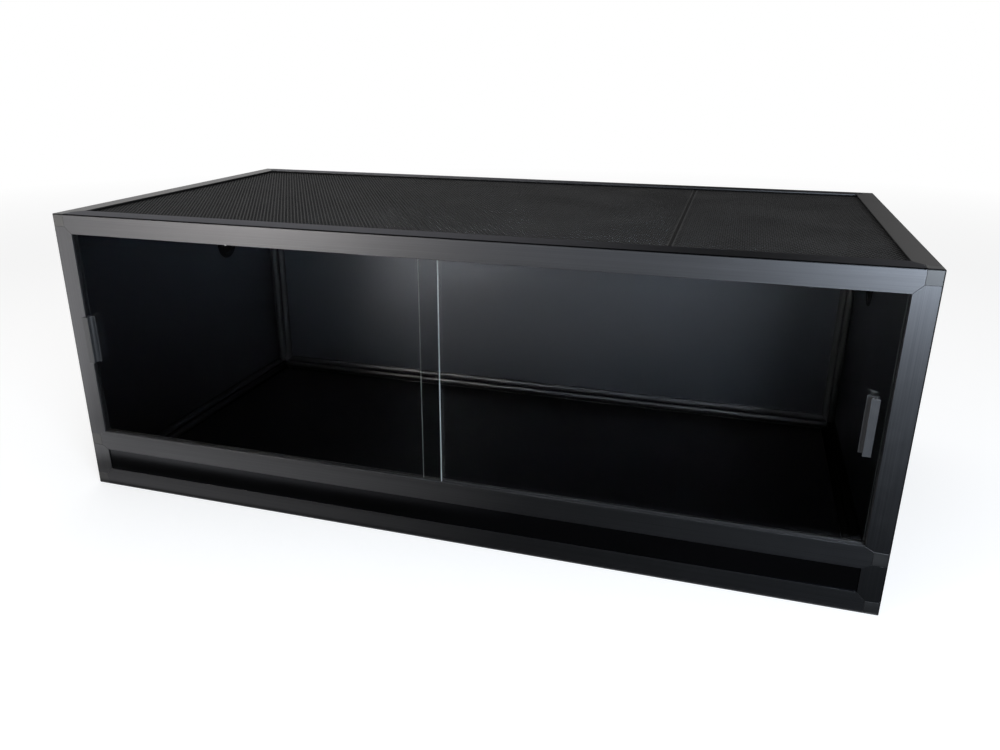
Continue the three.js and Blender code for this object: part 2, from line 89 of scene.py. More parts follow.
# %% [markdown]
# ## Camera
#
# The photograph was taken from 0.38 m right of the middle, 0.67 m up and a metre in front of the doors, with a short
# lens, so the left end runs away strongly. The numbers come from a fit to 24 corners of the frame, the openings and
# the doors. A camera could be turned by three angles, but a point that it looks at is easier to read and to change.

# %% Camera
def linked(name, data):
    """A new object in the scene, whose data is a mesh, a lamp or a camera."""
    made = bpy.data.objects.new(name, data)
    bpy.context.scene.collection.objects.link(made)
    return made


def aimed(name, data, position, target, roll=0.0):
    """An object at position that looks at target, turned about that line by roll degrees."""
    look = (Vector(target) - Vector(position)).to_track_quat("-Z", "Y").to_matrix().to_4x4()
    made = linked(name, data)
    made.matrix_world = Matrix.Translation(position) @ look @ Matrix.Rotation(math.radians(roll), 4, "Z")
    return made


lens = bpy.data.cameras.new("photo_camera")
lens.lens = 29.2515
lens.shift_x, lens.shift_y = 0.014514, -0.013678
eye, looked_at = (0.381335, -1.290357, 0.666119), (0.078163, -0.3048, 0.29286)
camera = aimed("photo_camera", lens, eye, looked_at, roll=0.0724)
bpy.context.scene.camera = camera
print("camera looks along", [round(v, 3) for v in camera.matrix_world.to_3x3() @ Vector((0, 0, -1))])

# %% [markdown]
# ## Writing a finish
#
# A finish is a graph of nodes. Written node by node it hides its own idea, so two small classes help. One wraps a
# node's output and turns Python's operators into Math nodes. The other adds any node from its type, its settings
# and its inputs.

# %% Shader maths
class Value:
    """A node's output, on which Python's operators add Math nodes."""

    def __init__(self, finish, socket):
        self.finish, self.socket = finish, socket

    def __add__(self, other):
        return self.finish.maths("ADD", self, other)

    def __sub__(self, other):
        return self.finish.maths("SUBTRACT", self, other)

    def __mul__(self, other):
        return self.finish.maths("MULTIPLY", self, other)

    __radd__ = __add__
    __rmul__ = __mul__


# %% A finish and its nodes
class Finish:
    """A node tree that is filled one node at a time."""

    def __init__(self, tree):
        self.tree = tree
        tree.nodes.clear()

    def node(self, kind, settings=None, inputs=None, output=0):
        """Adds a node: its settings come first, then the values or links of its sockets. Returns one output."""
        made = self.tree.nodes.new(kind)
        for name, setting in (settings or {}).items():
            setattr(made, name, setting)
        for name, given in (inputs or {}).items():
            if isinstance(given, Value):
                self.tree.links.new(given.socket, made.inputs[name])
            else:
                made.inputs[name].default_value = given
        return Value(self, made.outputs[output]) if len(made.outputs) else None

    def maths(self, operation, *values):
        return self.node("ShaderNodeMath", {"operation": operation}, dict(enumerate(values)))


# %% [markdown]
# Three sorts of node come back in most finishes here: noise that is stretched along the way a piece was made, a
# clamped ramp that turns a soft noise into a patch with an edge, and a mix of two colours. Object coordinates are in
# metres, because every piece sits at the origin with its place in its mesh, so a noise's scale is a count per metre.

# %% Noise, ramp and mix
white = (1, 1, 1, 1)


class Surface(Finish):
    """A material's nodes, with the few patterns that the finishes share."""

    def __init__(self, name):
        self.material = bpy.data.materials.new(name)
        self.material.use_nodes = True
        super().__init__(self.material.node_tree)
        self.place = self.node("ShaderNodeTexCoord", output="Object")

    def noise(self, per_metre, detail=2.0, rough=0.5, offset=0.0):
        """Noise with one count per metre, or one for each of X, Y and Z."""
        scale = per_metre if hasattr(per_metre, "__len__") else (per_metre,) * 3
        stretch = {"Vector": self.place, "Scale": scale, "Location": (offset, offset, offset)}
        spread = self.node("ShaderNodeMapping", {}, stretch)
        grain = {"Vector": spread, "Scale": 1.0, "Detail": detail, "Roughness": rough}
        return self.node("ShaderNodeTexNoise", {}, grain)

    def ramp(self, value, start, end, low=0.0, high=1.0):
        """Takes start..end to low..high, and stops there."""
        ends = {"Value": value, "From Min": start, "From Max": end, "To Min": low, "To Max": high}
        return self.node("ShaderNodeMapRange", {"clamp": True}, ends)

    def mix(self, share, one, other):
        """One colour where share is 0, the other where it is 1."""
        return self.node("ShaderNodeMix", {"data_type": "RGBA"}, {0: share, 6: one, 7: other}, output=2)

    def relief(self, height, depth):
        """A bump whose height of 1 stands depth metres proud."""
        return self.node("ShaderNodeBump", {}, {"Height": height, "Strength": 1.0, "Distance": depth}, output="Normal")

    def across(self):
        """The place along X, from the cabinet's middle to the right."""
        return self.node("ShaderNodeSeparateXYZ", {}, {"Vector": self.place}, output="X")

    def worn(self):
        """1 on the faces that a bevel made, where a finish is thin and gets rubbed."""
        return self.node("ShaderNodeAttribute", {"attribute_name": "worn"}, output="Fac")

    def glow(self, strength):
        """A shader that gives off white light, where a strength of 1 is white."""
        return self.node("ShaderNodeEmission", {}, {"Color": white, "Strength": strength})

    def end(self, shader):
        """Ends the material in a shader."""
        self.node("ShaderNodeOutputMaterial", {}, {"Surface": shader})
        print("finish", self.material.name, "has", len(self.tree.nodes), "nodes")
        return self.material

    def principled(self, **sockets):
        """Ends the material in a Principled shader; an underscore in a socket's name stands for a space."""
        inputs = {name.replace("_", " "): given for name, given in sockets.items()}
        return self.end(self.node("ShaderNodeBsdfPrincipled", {}, inputs))


# %% [markdown]
# ## Anodised aluminium
#
# The rails are extruded, brushed along their length, and anodised black. The dye leaves a dark metal, not a paint:
# nearly all that is seen of it is a blurred reflection, broken into fine lines that run with the rail. One image of
# brushed metal could be wrapped round each rail, but noise stretched along the rail needs no mapping and never
# repeats. A rail along X needs its noise long in X, and so on, so there are three of these finishes. Seen nearly edge
# on, a grain that runs away from the eye keeps the light together, and one that lies across it spreads it, so the
# three also differ in how bright they get there. Each direction also has a darker copy, with its colour cut to a
# fifth and a dull edge tint. This is painted shade, for the rounded outer edges and the fins inside the bottom of the
# cabinet.

# %% Anodised aluminium, with its grain along X, Y or Z
def anodised(along, in_full_tone=True):
    surface = Surface(f"anodised_along_{along}" if in_full_tone else f"anodised_painted_shade_along_{along}")
    coarse, fine = (1000.0, 2.0), (2600.0, 5.0)  # counts per metre: across the grain, and along it
    smooth, rough = (0.30, 0.35) if along == "z" else (0.34, 0.39)
    edge_on = {"x": (0.44, 0.44, 0.46, 1), "y": (0.82, 0.81, 0.80, 1), "z": (0.6, 0.6, 0.62, 1)}[along]
    # the darker copy has its colour cut to a fifth: painted shade
    painted_shade_scale = 1.0 if in_full_tone else 0.2

    def stretched(counts, offset):
        across, lengthways = counts
        return surface.noise([lengthways if axis == along else across for axis in "xyz"], detail=2.0, offset=offset)

    def tone(red, green, blue):
        return (red * painted_shade_scale, green * painted_shade_scale, blue * painted_shade_scale, 1)

    hair = stretched(fine, 3.7)
    lines = 0.45 * stretched(coarse, 0.0) + 0.55 * hair
    dye = surface.noise(5.0, detail=3.0, offset=11.0)
    hands = surface.ramp(surface.noise(26.0, detail=4.0, rough=0.62, offset=5.0), 0.52, 0.66)
    rubbed = surface.worn() * surface.ramp(surface.noise(60.0, detail=3.0, offset=8.0), 0.42, 0.6)
    dark = surface.mix(surface.ramp(lines, 0.36, 0.64), tone(0.084, 0.085, 0.090), tone(0.106, 0.107, 0.112))
    dyed = surface.mix(surface.ramp(dye, 0.35, 0.65, 0.0, 0.2), dark, tone(0.084, 0.083, 0.088))
    return surface.principled(
        Base_Color=surface.mix(0.45 * rubbed, dyed, tone(0.22, 0.22, 0.23)),
        Metallic=1.0,
        Roughness=surface.ramp(lines, 0.3, 0.7, smooth, rough) + 0.012 * hands,
        # painted shade: the darker copy also gets a dull edge tint
        Specular_Tint=edge_on if in_full_tone else (0.16, 0.16, 0.165, 1),
        Normal=surface.relief(hair, 0.00001),
    )


anodised_finish = {along: anodised(along) for along in "xyz"}
# darker copies, painted shade for the outer roundings and the bottom fins
painted_shade_anodised_finish = {along: anodised(along, in_full_tone=False) for along in "xyz"}

# %% [markdown]
# ## Moulded nylon
#
# The corner connectors are injection moulded. Their faces copy a lightly sparked mould: a fine, even orange peel
# with faint flow marks, and nearly the sheen of the rails beside them, so that only a hairline shows where one ends.
# As on the rails, the rounded outer edges take a duller finish.

# %% Moulded nylon of the connectors
def moulded_nylon(name, index):
    surface = Surface(name)
    peel = surface.noise(1400.0, detail=2.0)
    flow = surface.noise((22.0, 60.0, 35.0), detail=3.0, rough=0.6, offset=2.0)
    rubbed = surface.worn() * surface.ramp(surface.noise(80.0, detail=3.0, offset=4.0), 0.4, 0.6)
    body = surface.mix(surface.ramp(flow, 0.35, 0.65), (0.004, 0.004, 0.0043, 1), (0.007, 0.007, 0.0075, 1))
    return surface.principled(
        Base_Color=surface.mix(0.3 * rubbed, body, (0.04, 0.04, 0.042, 1)),
        Roughness=surface.ramp(flow, 0.3, 0.7, 0.33, 0.42) + 0.04 * peel,
        IOR=index,
        Normal=surface.relief(peel, 0.000012),
    )


nylon_finish = moulded_nylon("moulded_nylon", 1.75)
dull_nylon_finish = moulded_nylon("dull_nylon_at_the_edges", 1.25)

# %% [markdown]
# ## Black PVC sheet
#
# Floor, back, sides and the low front are sheets of black PVC. The sheet is calendered, so it is flat and satin: it
# shows the room in front as one broad soft glow. Wiping leaves faint clouds in that glow, which roughness alone
# gives, and a few hair scratches. There are four finishes of it: satin for the side panels and for the back panel's
# rear, one with the strongest sheen for the back panel's inner side, a dull one for the floor, and a glossy one for
# the low front strip.

# %% Black PVC sheet
def pvc_sheet(name, black, index, sheen, smooth, rough, smoother_right=0.0):
    """smoother_right is how much of its roughness the sheet loses towards the right."""
    surface = Surface(name)
    wiped = surface.noise((3.0, 4.0, 7.0), detail=4.0, rough=0.55)
    pebble = surface.noise(900.0, detail=2.0, offset=6.0)
    scratch = surface.ramp(surface.noise((9.0, 9.0, 700.0), detail=1.0, offset=9.0), 0.70, 0.76)
    right = surface.ramp(surface.across(), -0.25, 0.5)
    clean, clouded = (black, black, black, 1), (1.5 * black, 1.5 * black, 1.7 * black, 1)
    satin = surface.ramp(wiped, 0.3, 0.7, smooth, rough)
    return surface.principled(
        Base_Color=surface.mix(surface.ramp(wiped, 0.35, 0.65), clean, clouded),
        Roughness=satin + 0.02 * pebble + 0.02 * scratch - smoother_right * right,
        IOR=index,
        Specular_IOR_Level=sheen,
        Specular_Tint=(0.86, 0.89, 1.0, 1),
        Normal=surface.relief(pebble, 0.000006),
    )


pvc_finish = pvc_sheet("satin_pvc_sheet", 0.0010, 1.5, 0.7, 0.33, 0.40)
back_pvc_finish = pvc_sheet("back_pvc_sheet", 0.0018, 2.1, 1.0, 0.385, 0.43, smoother_right=0.105)
dull_pvc_finish = pvc_sheet("dull_pvc_sheet", 0.0009, 1.5, 0.10, 0.40, 0.50)
gloss_pvc_finish = pvc_sheet("gloss_pvc_sheet", 0.0008, 1.5, 0.24, 0.13, 0.19)

# %% [markdown]
# ## Powder-coated sheet, rubber, track plastic and foam
#
# The perforated top is steel sheet under a thin black powder coat, with the coat's small orange peel. The punched
# walls of the holes take a much darker copy of the same coat, which is painted shade. The rubber is dull and holds
# dust. The tracks and the pulls are extruded plastic, so their faint lines run along them as the grain of the rails
# does. The foam behind the pulls is all small cells.

# %% Powder coat
def powder_coat(name, darker, lighter):
    surface = Surface(name)
    peel = surface.noise(1100.0, detail=2.0)
    patches = surface.noise(9.0, detail=3.0, offset=3.0)
    dust = surface.ramp(surface.noise(300.0, detail=4.0, rough=0.7, offset=7.0), 0.56, 0.72)
    coat = surface.mix(surface.ramp(patches, 0.35, 0.65), (*darker, 1), (*lighter, 1))
    return surface.principled(
        Base_Color=surface.mix(0.12 * dust, coat, (0.08, 0.08, 0.078, 1)),
        Roughness=surface.ramp(patches, 0.3, 0.7, 0.56, 0.66) + 0.06 * peel + 0.1 * dust,
        Specular_IOR_Level=0.03,
        Normal=surface.relief(peel, 0.00001),
    )


powder_finish = powder_coat("black_powder_coat", (0.050, 0.050, 0.0507), (0.068, 0.068, 0.069))
# a much darker copy for the walls of the holes: painted shade
painted_shade_in_holes_finish = powder_coat("powder_coat_with_painted_shade_in_holes", (0.004, 0.004, 0.004), (0.007, 0.007, 0.007))

# %% Rubber
def rubber():
    surface = Surface("black_rubber")
    skin = surface.noise(1300.0, detail=3.0, rough=0.6)
    dust = surface.ramp(surface.noise(45.0, detail=5.0, rough=0.65, offset=4.0), 0.5, 0.72)
    return surface.principled(
        Base_Color=surface.mix(0.5 * dust, (0.004, 0.004, 0.004, 1), (0.011, 0.0105, 0.010, 1)),
        Roughness=0.66 + 0.14 * skin + 0.1 * dust,
        Specular_IOR_Level=0.2,
        Normal=surface.relief(skin, 0.00002),
    )


rubber_finish = rubber()

# %% Extruded plastic, with its lines along X or Z
def extruded_plastic(name, along, darker, lighter, smooth, rough):
    surface = Surface(name)
    lines = surface.noise([7.0 if axis == along else 1500.0 for axis in "xyz"], detail=2.0)
    hands = surface.ramp(surface.noise(70.0, detail=4.0, rough=0.6, offset=5.0), 0.5, 0.65)
    rubbed = surface.worn() * surface.ramp(surface.noise(120.0, detail=3.0, offset=8.0), 0.4, 0.6)
    body = surface.mix(surface.ramp(lines, 0.35, 0.65), (*darker, 1), (*lighter, 1))
    return surface.principled(
        Base_Color=surface.mix(0.35 * rubbed, body, (0.10, 0.10, 0.104, 1)),
        Roughness=surface.ramp(lines, 0.3, 0.7, smooth, rough) + 0.06 * hands,
        Normal=surface.relief(lines, 0.00001),
    )


track_tones = (0.014, 0.014, 0.015), (0.022, 0.022, 0.024)
track_finish = {
    along: extruded_plastic(f"track_plastic_along_{along}", along, *track_tones, 0.36, 0.46) for along in "xz"
}
pull_finish = extruded_plastic("pull_plastic", "z", (0.020, 0.0205, 0.022), (0.031, 0.032, 0.035), 0.30, 0.42)

# %% Foam tape
def foam_tape():
    surface = Surface("black_foam")
    cells = surface.node("ShaderNodeTexVoronoi", {}, {"Vector": surface.place, "Scale": 2600.0})
    return surface.principled(
        Base_Color=surface.mix(cells, (0.010, 0.010, 0.010, 1), (0.024, 0.024, 0.025, 1)),
        Roughness=0.9 + 0.08 * cells,
        Normal=surface.relief(cells, 0.00004),
    )


foam_finish = foam_tape()

# %% [markdown]
# ## Glass
#
# The doors are clear float glass. The faces are polished, and the edges are ground, so an edge scatters light and
# shows as a thin pale line where the clear face beside it vanishes. One shader can't do both, so each door gets
# three materials. The clear one is for its faces, a pale ground one is for its edges, and a dark copy of the ground
# one is for the edge that shuts into the jamb track. That dark copy is painted shade, as little light gets there.

# %% Clear glass and its ground edge
def clear_glass():
    surface = Surface("clear_glass")
    smear = surface.ramp(surface.noise((6.0, 6.0, 11.0), detail=4.0, rough=0.6), 0.5, 0.75)
    return surface.principled(
        Base_Color=(0.975, 0.986, 0.984, 1),
        Roughness=0.012 * smear,
        IOR=1.5,
        Transmission_Weight=1.0,
        Specular_IOR_Level=0.4,
    )


def ground_edge(name, darker, lighter):
    surface = Surface(name)
    grind = surface.noise((900.0, 900.0, 220.0), detail=3.0, rough=0.6)
    return surface.principled(
        Base_Color=surface.mix(surface.ramp(grind, 0.3, 0.7), (*darker, 1), (*lighter, 1)),
        Roughness=surface.ramp(grind, 0.3, 0.7, 0.30, 0.48),
        IOR=1.5,
        Transmission_Weight=0.5,
        Normal=surface.relief(grind, 0.00001),
    )


glass_finish = clear_glass()
free_edge_finish = ground_edge("ground_glass_edge", (0.34, 0.39, 0.38), (0.60, 0.66, 0.65))
# a dark copy of the ground edge: painted shade for the edge in the jamb track
painted_shade_jamb_edge_finish = ground_edge("edge_in_the_jamb", (0.02, 0.024, 0.023), (0.05, 0.056, 0.055))

# %% [markdown]
# ## Rounding what the CAD leaves sharp
#
# No real edge is perfectly sharp. An extrusion's or a moulding's corner has a radius of a few tenths of a
# millimetre, and it is this radius that draws the thin light and dark lines along a rail. A Bevel modifier on the
# CAD node would be simpler, but the nodes are loose triangles, so it would find no edge between two faces. So each
# node is copied into a bmesh, its corners are merged, its flat triangles are joined into whole faces, and its sharp
# outer edges are bevelled. The new faces are marked as worn for the finishes.

# %% From a bmesh to a piece
def meshed(name, bm, finishes):
    """Ends a bmesh as an object of the scene with these finishes."""
    mesh = bpy.data.meshes.new(name)
    bm.to_mesh(mesh)
    bm.free()
    for finish in finishes:
        mesh.materials.append(finish)
    return linked(name, mesh)


def as_piece(name, bm, node, finishes):
    """Ends a bmesh as a piece that stands for a CAD node, on its body and with these finishes, and hides the node."""
    piece = meshed(name, bm, finishes)
    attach(piece, body_of[node])
    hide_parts(node)
    return piece


# %% Copy a node, join its flat faces and round its edges
outer_radius = 1.8 * mm  # of the cabinet's long outer edges, as the CAD model has it
weld = 0.01 * mm  # corners that lie closer than this are one
flat = math.radians(0.5)  # faces that meet at less than this are one


def in_outer_rounding(face):
    """True for a face of the radius that runs along the cabinet's long outer edges."""
    middle, corner = face.calc_center_median(), cad_box[1]
    gaps = sorted((corner[0] - abs(middle.x), corner[1] - abs(middle.y), min(middle.z, corner[2] - middle.z)))
    looks_along_an_axis = max(abs(part) for part in face.normal) >= 0.999
    return gaps[1] < outer_radius and not looks_along_an_axis


def rounded(node, width, segments=2, least_angle=35.0):
    """A bmesh of a CAD node, with its convex edges rounded by width, in millimetres.

    The faces of the cabinet's outer rounding get the second finish, all others the first.
    """
    bm = bmesh.new()
    bm.from_mesh(nodes[node].data)
    worn = bm.faces.layers.float.new("worn")
    bmesh.ops.remove_doubles(bm, verts=bm.verts[:], dist=weld)
    bmesh.ops.dissolve_limit(bm, angle_limit=flat, verts=bm.verts[:], edges=bm.edges[:])
    sharp = [e for e in bm.edges if e.is_manifold and e.calc_face_angle_signed() > math.radians(least_angle)]
    made = bmesh.ops.bevel(
        bm, geom=sharp, affect="EDGES", offset=width * mm, offset_type="OFFSET", segments=segments, profile=0.5,
        material=-1, clamp_overlap=True,
    )
    for face in made["faces"]:
        face[worn] = 1.0
    bm.normal_update()
    for face in bm.faces:
        face.smooth = True
        # the outer rounding takes the second finish; on the rails that is painted shade
        face.material_index = int(in_outer_rounding(face))
    return bm


def smooth_shaded(piece):
    """Lets the big flat faces set the shading, so that only the roundings bend it."""
    weighted = piece.modifiers.new("flat_faces_lead", "WEIGHTED_NORMAL")
    weighted.weight = 100  # the most that can be set


# %% [markdown]
# ## The frame and its connectors
#
# All rails and posts get a radius of a quarter millimetre, the connectors a little more, and each takes the
# anodised finish whose grain runs its way. The bar under the seam takes the rubber's dull black as painted shade, so
# the joint between the sheets reads as a thin dark line. The cabinet's long outer edges are rounder, by 1.8 mm in the
# CAD model. The rounding faces the dark ceiling. It takes the darker copy of the anodised finish, which is painted
# shade that draws the dark line between the front and the top. The inner faces of the bottom rails at the two ends,
# which show through the glass, take that painted shade as well.

# %% Rails, posts and the seam bar
inner_reach, foot = 0.605, 0.004  # inner faces of those rails lie closer to the middle and higher up than this
runs = {"left_rail": "y", "right_rail": "y", "seam_bar": "y", "post": "z"}
frame_nodes = [n for n in sorted(nodes) if slot_of[n] == "frame"]
for node in frame_nodes:
    along = next((axis for ending, axis in runs.items() if node.endswith(ending)), "x")
    # the seam bar takes the rubber's black as painted shade, so the joint reads as a thin dark line
    finish = rubber_finish if node == "mesh_seam_bar" else anodised_finish[along]
    bm = rounded(node, 0.25)
    # the inner faces of the bottom side rails take the painted shade copy
    if node.startswith("bottom") and along == "y":
        for face in bm.faces:
            middle = face.calc_center_median()
            if abs(middle.x) < inner_reach and middle.z > foot:
                face.material_index = 1
    smooth_shaded(as_piece(f"{node}_finished", bm, node, [finish, painted_shade_anodised_finish[along]]))
print(len(frame_nodes), "extrusions rounded")

# %% Connectors
connector_nodes = [n for n in sorted(nodes) if slot_of[n] == "connectors"]
for node in connector_nodes:
    smooth_shaded(as_piece(f"{node}_finished", rounded(node, 0.45), node, [nylon_finish, dull_nylon_finish]))
print(len(connector_nodes), "connectors rounded")

# %% Tracks and pulls
for node in ("bottom_track", "top_track", "left_jamb_track", "right_jamb_track"):
    along = "z" if "jamb" in node else "x"
    smooth_shaded(as_piece(f"{node}_finished", rounded(node, 0.2), node, [track_finish[along]]))
for node in ("left_door_pull", "right_door_pull"):
    smooth_shaded(as_piece(f"{node}_finished", rounded(node, 0.4, segments=3), node, [pull_finish]))

# %% [markdown]
# ## Doors
#
# Each door is one sheet of glass with a small arris ground on all its edges. The CAD box gets that arris, and every
# face that doesn't look along Y takes a ground finish.

# %% Glass doors
def glass_door(node, outwards):
    """One door. outwards is 1 or -1, the way along X to its own jamb."""
    bm = rounded(node, 0.5, segments=1)
    for face in bm.faces:
        face.smooth = False
        polished, shuts = abs(face.normal.y) > 0.99, face.normal.x * outwards > 0.5
        # the edge that shuts into the jamb takes the painted shade copy
        face.material_index = 0 if polished else 2 if shuts else 1
    ground = sum(f.calc_area() for f in bm.faces if f.material_index)
    print(node, "has", round(ground / cm**2, 1), "square centimetres of ground edge")
    as_piece(f"{node}_finished", bm, node, [glass_finish, free_edge_finish, painted_shade_jamb_edge_finish])


glass_door("left_glass_door", -1)
glass_door("right_glass_door", 1)

# %% [markdown]
# ## The perforated top
#
# Two black sheets are punched with 4.4 mm holes in staggered rows, and the lamps and the warm air go through them. A
# bump or a transparent pattern would look flat from close by, so the holes are real. One hole with its share of the
# sheet is made once, as a flat ring, and repeated along X and then in Y. Neighbouring rows are shifted by half a
# pitch, so the ring's outline gets a corner there as well, and all corners meet. Each hole has few sides, because
# there are 22 000 of them. The sheet is thinner than the plain one of the CAD model, so that more of each hole shows
# at a low angle.

# %% Pattern of the holes
hole_width = 4.4 * mm
hole_sides = 8
pitch = 5.8 * mm
row_step = pitch * math.sqrt(3) / 2
sheet_thickness = 0.6 * mm
print("open share of the sheet:", round(math.pi * hole_width**2 / 4 / (pitch * row_step), 2))

# %% One hole with its share of the sheet
cell_corners = ((-1, -1), (0, -1), (1, -1), (1, 1), (0, 1), (-1, 1))  # in halves of the pitch and of the row's step


def hole_cell(bm, x, y, z):
    """A flat ring between a hole at x, y and its cell, whose long sides have a corner in the middle."""
    place = Matrix.Translation((x, y, z)) @ Matrix.Rotation(math.pi / hole_sides, 4, "Z")
    rim = bmesh.ops.create_circle(bm, cap_ends=False, segments=hole_sides, radius=hole_width / 2, matrix=place)
    outline = [bm.verts.new((x + i * pitch / 2, y + j * row_step / 2, z)) for i, j in cell_corners]
    edges = [bm.edges.new(pair) for pair in zip(outline, outline[1:] + outline[:1])]
    edges += list({e for v in rim["verts"] for e in v.link_edges})
    bmesh.ops.triangle_fill(bm, edges=edges, use_beauty=True, normal=(0, 0, 1))


def repeated(bm, geom, step, count):
    """Repeats flat geometry along a step, count times in all."""
    if count > 1:
        bmesh.ops.spin(bm, geom=geom, angle=0.0, axis=(0, 0, 1), cent=(0, 0, 0), dvec=step, steps=count - 1,
                       use_duplicate=True, use_merge=False)


# %% Plain parts of the sheet, at the row ends and the margins
def plain_part(bm, corners_x, y0, y1, z):
    """A flat face between y0 and y1, with a corner on both long sides at each x."""
    low = [bm.verts.new((x, y0, z)) for x in corners_x]
    high = [bm.verts.new((x, y1, z)) for x in reversed(corners_x)]
    bm.faces.new(low + high)


# %% One pair of rows
def row_pair(bm, x0, start, across, x1, y, z):
    """Two neighbouring rows, the second one shifted by half a pitch, from the sheet's edge x0 to its edge x1."""
    end, half = start + across * pitch, pitch / 2
    for shift, count, row in ((half, across, 0), (pitch, across - 1, 1)):
        low = y + row * row_step
        before = set(bm.verts)
        hole_cell(bm, start + shift, low + row_step / 2, z)
        cell = [v for v in bm.verts if v not in before]
        geom = cell + list({e for v in cell for e in v.link_edges}) + list({f for v in cell for f in v.link_faces})
        repeated(bm, geom, (pitch, 0, 0), count)
        plain_part(bm, [x0, start] + [start + half] * row, low, low + row_step, z)
        plain_part(bm, [end - half] * row + [end, x1], low, low + row_step, z)


# %% One strip of a sheet, made solid
def punched_strip(name, node, start, across, y, rows, margins):
    """A strip of rows from y on. margins are the plain widths in front of it and behind it."""
    low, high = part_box(node)
    bm = bmesh.new()
    row_pair(bm, low.x, start, across, high.x, y, high.z)
    repeated(bm, bm.verts[:] + bm.edges[:] + bm.faces[:], (0, 2 * row_step, 0), rows // 2)
    corners = [low.x] + [start + i * pitch / 2 for i in range(2 * across + 1)] + [high.x]
    back_edge = y + rows * row_step
    for y0, y1 in ((y - margins[0], y), (back_edge, back_edge + margins[1])):
        if y1 > y0:
            for i in range(len(corners) - 1):
                plain_part(bm, corners[i : i + 2], y0, y1, high.z)
    bmesh.ops.remove_doubles(bm, verts=bm.verts[:], dist=weld)
    bmesh.ops.recalc_face_normals(bm, faces=bm.faces[:])
    if bm.faces[0].normal.z < 0:
        bmesh.ops.reverse_faces(bm, faces=bm.faces[:])
    bmesh.ops.solidify(bm, geom=bm.faces[:], thickness=sheet_thickness)
    top_of_strip = max(v.co.z for v in bm.verts)
    bmesh.ops.translate(bm, verts=bm.verts[:], vec=(0, 0, high.z - top_of_strip))
    for face in bm.faces:
        # the walls of the holes take the second finish, which is painted shade
        face.material_index = 0 if abs(face.normal.z) > 0.5 else 1
    open_edges = sum(not e.is_manifold for e in bm.edges)
    triangles = sum(len(f.verts) - 2 for f in bm.faces)
    volume = round(bm.calc_volume() / cm**3, 1)
    print(name, triangles, "triangles,", open_edges, "open edges, volume", volume, "cm3")
    as_piece(name, bm, node, [powder_finish, painted_shade_in_holes_finish])


# %% [markdown]
# The wide sheet is made in four strips and the narrow one in two, so that no piece gets too heavy. The strips meet
# on a line between two rows, where nothing shows. Next to the seam a sheet keeps a plain edge of half a millimetre.
# What its other sides have left over, less than a pitch, stays plain as well and lies in the frame.

# %% Punch both sheets
seam_margin = 0.5 * mm
all_rows = 110
for node, strips in (("wide_mesh_sheet", (28, 28, 28, 26)), ("narrow_mesh_sheet", (56, 54))):
    low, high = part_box(node)
    across = int((high.x - low.x - seam_margin) / pitch)
    wide = node.startswith("wide")
    start = high.x - seam_margin - across * pitch if wide else low.x + seam_margin
    y = low.y + ((high.y - low.y) - all_rows * row_step) / 2
    margin = y - low.y
    for number, rows in enumerate(strips):
        margins = (margin if number == 0 else 0.0, margin if number == len(strips) - 1 else 0.0)
        punched_strip(f"{node}_strip_{number + 1}", node, start, across, y, rows, margins)
        y += rows * row_step

# %% [markdown]
# ## Pieces that stay as CAD made them
#
# The PVC sheets but for the back one, the rubber edging and grommets and the foam tape have the right shape already,
# with their edges hidden in a channel or against another piece. They only take their finishes.

# %% Finishes on the CAD nodes that stay
kept_finish = {"panels": pvc_finish, "rubber": rubber_finish, "foam_tape": foam_finish}
for node, piece in nodes.items():
    if slot_of[node] in kept_finish:
        piece.data.materials.clear()
        piece.data.materials.append(kept_finish[slot_of[node]])
nodes["floor_panel"].data.materials[0] = dull_pvc_finish
nodes["lower_front_panel"].data.materials[0] = gloss_pvc_finish
print("CAD nodes that still show:", [node for node, piece in nodes.items() if not piece.hide_render])

# %% [markdown]
# The back panel is the one sheet with two looks. Its inner side has the strongest sheen, and its rear is satin as the
# side panels are. So it is copied, and the faces that look forward take the other finish.

# %% Back panel
bm = rounded("back_panel", 0.2)
for face in bm.faces:
    face.material_index = int(face.normal.y < -0.5)
smooth_shaded(as_piece("back_panel_finished", bm, "back_panel", [pvc_finish, back_pvc_finish]))

# %% [markdown]
# ## Floor and backdrop
#
# The photograph has a plain white ground. The floor is a pale disc that really is lit, so the cabinet throws a soft
# shadow on it, and it also glows a little for the camera and for reflections, just enough that its open part comes
# out white. Light from the floor onto the cabinet stays what a pale floor would give. Far out it turns wholly
# into the white of the world, so its edge hardly shows.

# %% White where the camera, a reflection or clear glass sees it
def seen_share(finish):
    """1 for rays from the camera, from a reflection or through glass, and 0 for diffuse light."""
    rays = [finish.node("ShaderNodeLightPath", output=f"Is {ray} Ray") for ray in ("Camera", "Glossy", "Transmission")]
    return finish.maths("MAXIMUM", finish.maths("MAXIMUM", rays[0], rays[1]), rays[2])


def room_strength(seen):
    """Plain white where it is seen, and room_light for diffuse light."""
    return room_light + (1 - room_light) * seen


room_light = 0.5
world = bpy.data.worlds.new("white_room")
world.use_nodes = True
room = Finish(world.node_tree)
glow = room.node("ShaderNodeBackground", {}, {"Color": white, "Strength": room_strength(seen_share(room))})
room.node("ShaderNodeOutputWorld", {}, {"Surface": glow})
bpy.context.scene.world = world

# %% The floor
floor_radius, fade_start, fade_end = 14.0, 2.2, 4.5  # metres from the cabinet's middle
paper_grey, floor_lift = 0.62, 0.55


